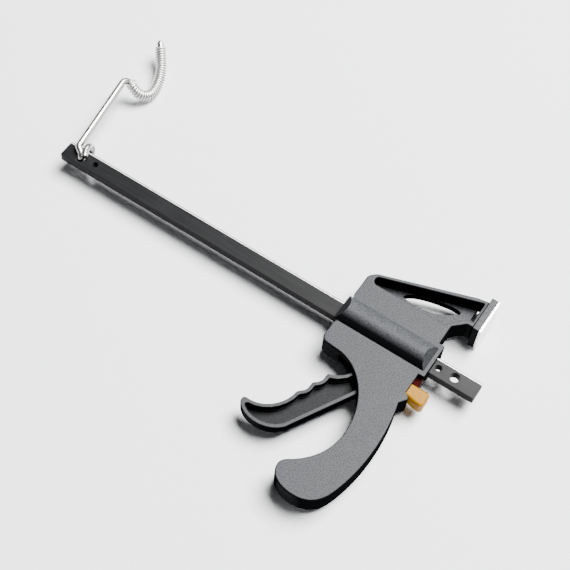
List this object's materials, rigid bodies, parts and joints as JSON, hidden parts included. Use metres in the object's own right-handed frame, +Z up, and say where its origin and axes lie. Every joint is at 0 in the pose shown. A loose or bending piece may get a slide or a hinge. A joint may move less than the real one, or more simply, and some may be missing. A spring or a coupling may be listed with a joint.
{
  "type": "one-hand bar clamp",
  "caption": "Small trigger-operated bar clamp with one jaw, a sliding steel bar with bores in its ends and a bent wire hook looped through the far end.",
  "frame": {"origin": "centre of the large bore in the bar's free end, half way through the bar's thickness", "axes": "+X along the bar towards its free end, +Y from the grip towards the jaw, +Z up out of the clamp's front face, as it lies on its side"},
  "size_m": [0.2076, 0.1506, 0.016],
  "materials": {
    "bar_steel": "dark burnished, satin",
    "shell_plastic": "finely textured",
    "trigger_plastic": "finely textured",
    "pad_plastic": "finely textured",
    "face_steel": "bright satin",
    "screw_steel": "zinc plated",
    "pin_steel": "ground",
    "lever_steel": "stamped, lightly oiled",
    "spring_steel": "drawn wire",
    "cap_plastic": "moulded, semi-gloss",
    "hook_wire": "nickel plated",
    "sleeve_wire": "nickel plated"
  },
  "bodies": {
    "housing": {"front_shell": "shell_plastic", "back_shell": "shell_plastic", "shell_screws": "screw_steel", "jaw_pad": "pad_plastic", "pad_face_plate": "face_steel", "pad_screw": "screw_steel", "trigger_pin": "pin_steel", "brake_pin": "pin_steel", "drive_spring": "spring_steel", "brake_spring": "spring_steel"},
    "bar": {"bar": "bar_steel"},
    "trigger": {"trigger": "trigger_plastic"},
    "drive": {"drive_lever": "lever_steel"},
    "brake": {"brake_lever": "lever_steel", "release_cap": "cap_plastic"},
    "hook": {"wire_hook": "hook_wire", "hook_sleeve": "sleeve_wire"}
  },
  "joints": [
    {"name": "bar_slide", "type": "slide", "parent": "housing", "child": "bar", "axis": [1, 0, 0], "range_m": [-0.015, 0.12]},
    {"name": "trigger_hinge", "type": "hinge", "parent": "housing", "child": "trigger", "pos_m": [-0.027, -0.0155, 0], "axis": [0, 0, 1], "range_deg": [0, 20], "stiffness_Nm_per_rad": 0.13, "springref_deg": -8.59},
    {"name": "drive_slide", "type": "slide", "parent": "housing", "child": "drive", "axis": [-1, 0, 0], "range_m": [0, 0.0027], "deforming": ["drive_spring"]},
    {"name": "brake_hinge", "type": "hinge", "parent": "housing", "child": "brake", "pos_m": [-0.0174, 0.0077, 0], "axis": [0, 0, -1], "range_deg": [0, 4.5], "stiffness_Nm_per_rad": 0.2, "springref_deg": -11.46, "deforming": ["brake_spring"]},
    {"name": "hook_swing", "type": "hinge", "parent": "bar", "child": "hook", "pos_m": [-0.1848, 0.0031, 0], "axis": [-1, 0, 0], "range_deg": [0, 150]}
  ],
  "couplings": [
    {"joint": "drive_slide", "follows": "trigger_hinge", "m_per_rad": 0.0076}
  ]
}
